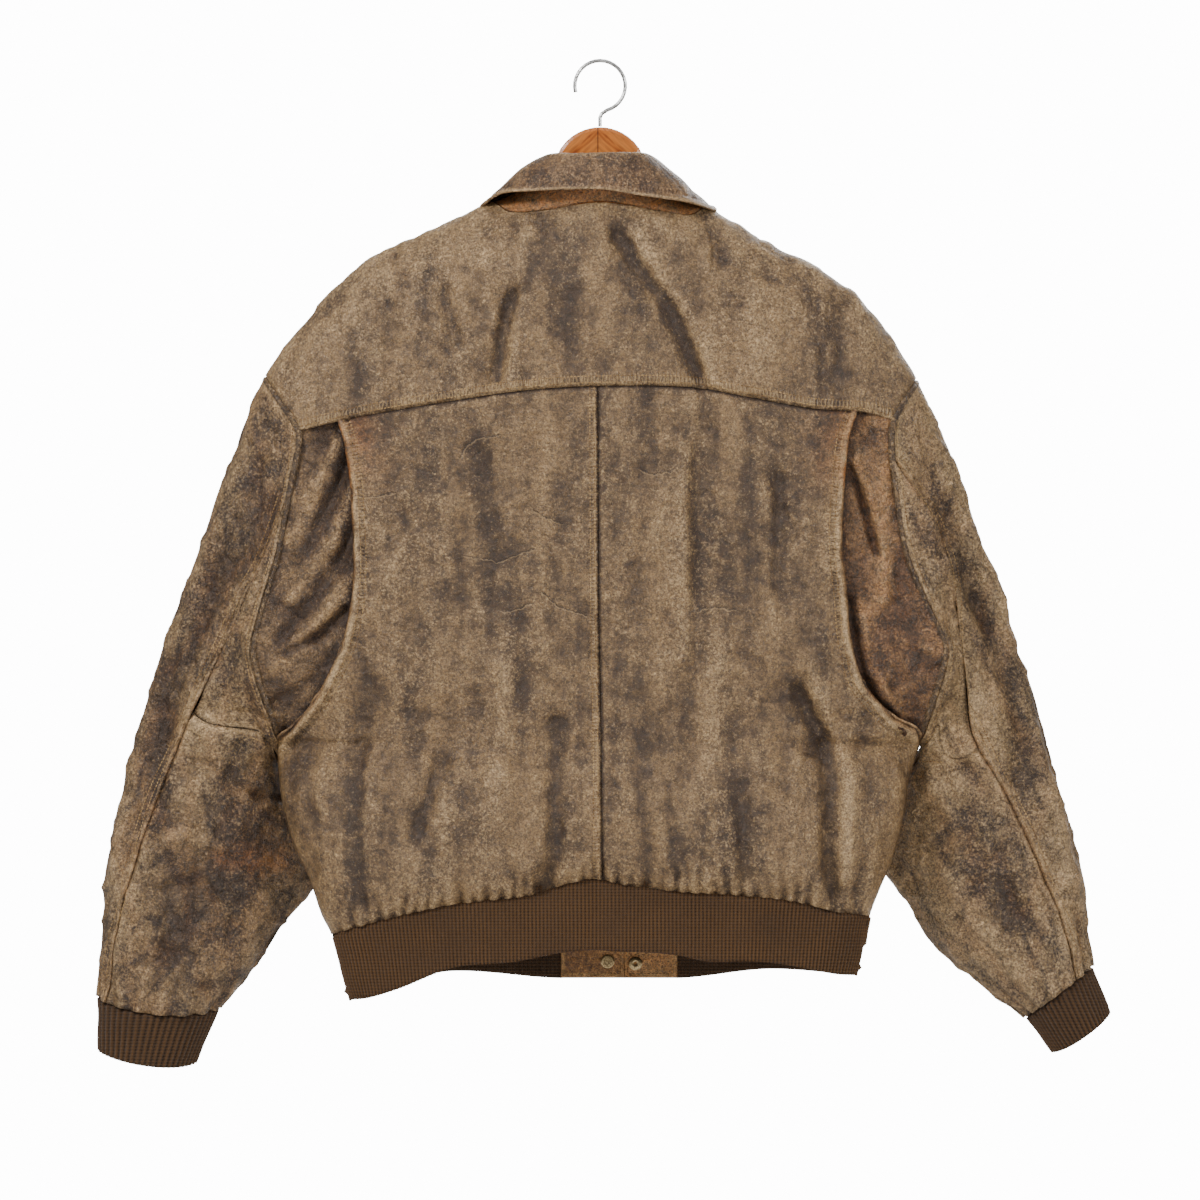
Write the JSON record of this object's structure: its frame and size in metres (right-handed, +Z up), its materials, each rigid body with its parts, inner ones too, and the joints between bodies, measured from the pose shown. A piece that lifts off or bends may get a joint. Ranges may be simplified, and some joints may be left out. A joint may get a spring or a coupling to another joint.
{
  "type": "leather jacket on a wooden hanger",
  "caption": "Worn brown leather jacket with pleated back, rib-knit cuffs and waistband, and a front zip, hanging from a wooden hanger.",
  "frame": {"origin": "inner top of the hanger's hook, where it hangs", "axes": "+Z up, the jacket's back faces -Y, +X is the wearer's right"},
  "size_m": [0.9438, 0.1721, 0.9388],
  "materials": {
    "worn_brown_leather": "satin, cracked and rubbed",
    "tan_tab_leather": "satin, rubbed",
    "olive_brown_rib_knit": "wool rib knit",
    "zip_tape": "woven tape",
    "aged_brass": "dulled",
    "varnished_wood": "clear varnish",
    "hook_steel": "plated wire"
  },
  "bodies": {
    "jacket": {"back_yoke": "worn_brown_leather", "back_panel_left": "worn_brown_leather", "back_panel_right": "worn_brown_leather", "back_gusset_left": "worn_brown_leather", "back_gusset_right": "worn_brown_leather", "front_left": "worn_brown_leather", "front_right": "worn_brown_leather", "sleeve_top_left": "worn_brown_leather", "sleeve_top_right": "worn_brown_leather", "sleeve_under_left": "worn_brown_leather", "sleeve_under_right": "worn_brown_leather", "underarm_left": "worn_brown_leather", "underarm_right": "worn_brown_leather", "collar_leaf": "worn_brown_leather", "collar_stand": "worn_brown_leather", "cuff_left": "olive_brown_rib_knit", "cuff_right": "olive_brown_rib_knit", "hem_rib": "olive_brown_rib_knit", "hem_tab_left": "tan_tab_leather", "hem_tab_right": "tan_tab_leather", "snap_socket": "aged_brass", "snap_cap": "aged_brass", "snap_eyelet": "aged_brass", "snap_stud": "aged_brass", "zip_tape_left": "zip_tape", "zip_tape_right": "zip_tape", "zip_chain": "aged_brass", "zip_slider": "aged_brass", "hanger_wood": "varnished_wood", "hanger_hook": "hook_steel"},
    "pull_tab": {"zip_pull_tab": "aged_brass"}
  },
  "joints": [
    {"name": "pull_tab_swing", "type": "hinge", "parent": "jacket", "child": "pull_tab", "pos_m": [0.00015, 0.07593, -0.2332], "axis": [1, 0, 0], "range_deg": [0, 140]}
  ]
}
